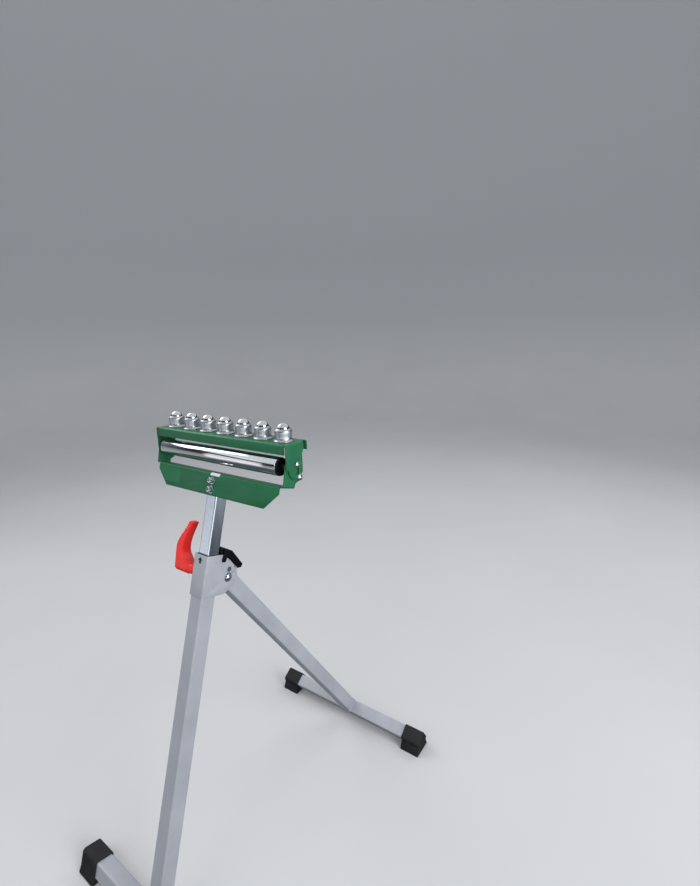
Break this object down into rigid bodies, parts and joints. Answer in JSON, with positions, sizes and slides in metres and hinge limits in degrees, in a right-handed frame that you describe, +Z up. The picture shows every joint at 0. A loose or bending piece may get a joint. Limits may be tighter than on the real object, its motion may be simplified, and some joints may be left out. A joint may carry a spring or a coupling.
{
  "type": "roller stand",
  "caption": "Folding roller stand: square column on an A frame of two T legs, with a chrome roller and a swing-back ball rail on top.",
  "frame": {"origin": "centre of the object's box, on the floor", "axes": "+X along the roller, to the right from the front; +Y to the rear leg; +Z up"},
  "size_m": [0.436, 0.6452, 0.88],
  "materials": {
    "green_powder": "semi-gloss powder coat",
    "grey_paint": "semi-gloss powder coat",
    "zinc_steel": "bright zinc plating",
    "cup_steel": "pressed and zinc plated",
    "spring_steel": "drawn spring wire",
    "chrome_roller": "hard chrome",
    "ball_steel": "polished bearing steel",
    "red_plastic": "moulded nylon",
    "black_plastic": "moulded nylon",
    "foot_rubber": "moulded rubber",
    "pad_brass": "turned"
  },
  "bodies": {
    "front_frame": {"lower_tube": "grey_paint", "sleeve": "grey_paint", "front_foot_bar": "grey_paint", "front_foot_caps": "foot_rubber", "column_guide": "black_plastic", "leg_pivot_bolt": "zinc_steel", "leg_pivot_nut": "zinc_steel", "leg_stop_pin": "zinc_steel", "clamp_nut": "zinc_steel", "clamp_pad": "pad_brass", "latch_spring": "spring_steel"},
    "rear_leg": {"rear_leg": "grey_paint", "rear_leg_bush": "zinc_steel", "rear_foot_bar": "grey_paint", "rear_foot_caps": "foot_rubber"},
    "head": {"column": "zinc_steel", "column_plug": "black_plastic", "roller_bracket": "green_powder", "head_bolts": "zinc_steel", "head_nuts": "zinc_steel", "roller_axle": "zinc_steel", "axle_spacers": "black_plastic", "rail_pivot_bolts": "zinc_steel", "rail_pivot_nuts": "zinc_steel", "lock_pins": "zinc_steel"},
    "roller": {"roller_tube": "chrome_roller", "roller_plugs": "black_plastic"},
    "rail_shoes": {"rail_shoes": "black_plastic"},
    "rail": {"ball_rail": "green_powder", "ball_cups": "cup_steel", "ball_nuts": "zinc_steel"},
    "clamp_lever": {"clamp_lever": "red_plastic", "clamp_screw": "zinc_steel"},
    "latch": {"latch": "black_plastic"},
    "ball_1": {"ball_1": "ball_steel"},
    "ball_2": {"ball_2": "ball_steel"},
    "ball_3": {"ball_3": "ball_steel"},
    "ball_4": {"ball_4": "ball_steel"},
    "ball_5": {"ball_5": "ball_steel"},
    "ball_6": {"ball_6": "ball_steel"},
    "ball_7": {"ball_7": "ball_steel"}
  },
  "joints": [
    {"name": "column_slide", "type": "slide", "parent": "front_frame", "child": "head", "axis": [0, 0.2756, 0.9613], "range_m": [-0.085, 0.18]},
    {"name": "rear_leg_fold", "type": "hinge", "parent": "front_frame", "child": "rear_leg", "pos_m": [0, -0.09507, 0.59573], "axis": [-1, 0, 0], "range_deg": [0, 50.5]},
    {"name": "roller_spin", "type": "hinge", "parent": "head", "child": "roller", "pos_m": [0, -0.0792, 0.81432], "axis": [1, 0, 0], "continuous": true},
    {"name": "rail_swing", "type": "hinge", "parent": "head", "child": "rail_shoes", "pos_m": [0, -0.06181, 0.8162], "axis": [-1, 0, 0], "range_deg": [0, 118]},
    {"name": "rail_lift", "type": "slide", "parent": "rail_shoes", "child": "rail", "axis": [0, 0, 1], "range_m": [0, 0.013]},
    {"name": "clamp_turn", "type": "hinge", "parent": "front_frame", "child": "clamp_lever", "pos_m": [-0.05, -0.12775, 0.61238], "axis": [-1, 0, 0], "range_deg": [0, 120]},
    {"name": "latch_press", "type": "hinge", "parent": "front_frame", "child": "latch", "pos_m": [0, -0.10087, 0.63172], "axis": [-1, 0, 0], "range_deg": [0, 8], "stiffness_Nm_per_rad": 0.5, "springref_deg": -8.59, "deforming": ["latch_spring"]},
    {"name": "ball_1_spin", "type": "hinge", "parent": "rail", "child": "ball_1", "pos_m": [-0.1356, -0.05931, 0.869], "axis": [1, 0, 0], "continuous": true},
    {"name": "ball_2_spin", "type": "hinge", "parent": "rail", "child": "ball_2", "pos_m": [-0.0904, -0.05931, 0.869], "axis": [1, 0, 0], "continuous": true},
    {"name": "ball_3_spin", "type": "hinge", "parent": "rail", "child": "ball_3", "pos_m": [-0.0452, -0.05931, 0.869], "axis": [1, 0, 0], "continuous": true},
    {"name": "ball_4_spin", "type": "hinge", "parent": "rail", "child": "ball_4", "pos_m": [0, -0.05931, 0.869], "axis": [1, 0, 0], "continuous": true},
    {"name": "ball_5_spin", "type": "hinge", "parent": "rail", "child": "ball_5", "pos_m": [0.0452, -0.05931, 0.869], "axis": [1, 0, 0], "continuous": true},
    {"name": "ball_6_spin", "type": "hinge", "parent": "rail", "child": "ball_6", "pos_m": [0.0904, -0.05931, 0.869], "axis": [1, 0, 0], "continuous": true},
    {"name": "ball_7_spin", "type": "hinge", "parent": "rail", "child": "ball_7", "pos_m": [0.1356, -0.05931, 0.869], "axis": [1, 0, 0], "continuous": true}
  ]
}
